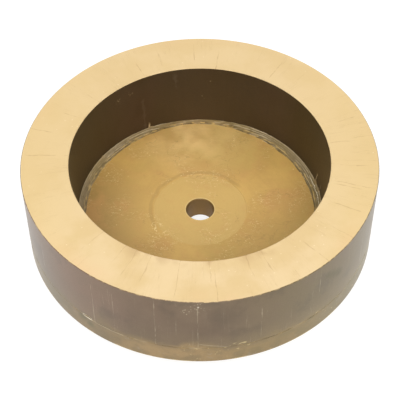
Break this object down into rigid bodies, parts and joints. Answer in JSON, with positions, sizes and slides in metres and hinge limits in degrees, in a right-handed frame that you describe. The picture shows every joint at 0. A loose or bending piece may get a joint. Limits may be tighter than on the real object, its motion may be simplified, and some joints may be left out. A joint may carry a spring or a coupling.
{
  "type": "diamond grinding wheel",
  "caption": "Cup-shaped diamond grinding wheel: a thick sintered bronze rim with a flat annular grinding face, soldered to a bored bronze backing plate.",
  "frame": {"origin": "centre of the backing plate's back face, on the wheel's spin axis", "axes": "+Z along the spin axis from the back face to the grinding face; the wheel is round, so +X and +Y are any two directions across it"},
  "size_m": [0.15, 0.15, 0.044],
  "materials": {
    "diamond_bronze": "ground satin",
    "base_bronze": "as sintered, dull",
    "solder": "dull",
    "fillet_solder": "turned",
    "plate_bronze": "satin, tarnished"
  },
  "bodies": {
    "root": {"diamond_rim": "diamond_bronze", "rim_base_layer": "base_bronze", "solder_joint": "solder", "solder_fillet": "fillet_solder", "backing_plate": "plate_bronze"}
  },
  "joints": []
}
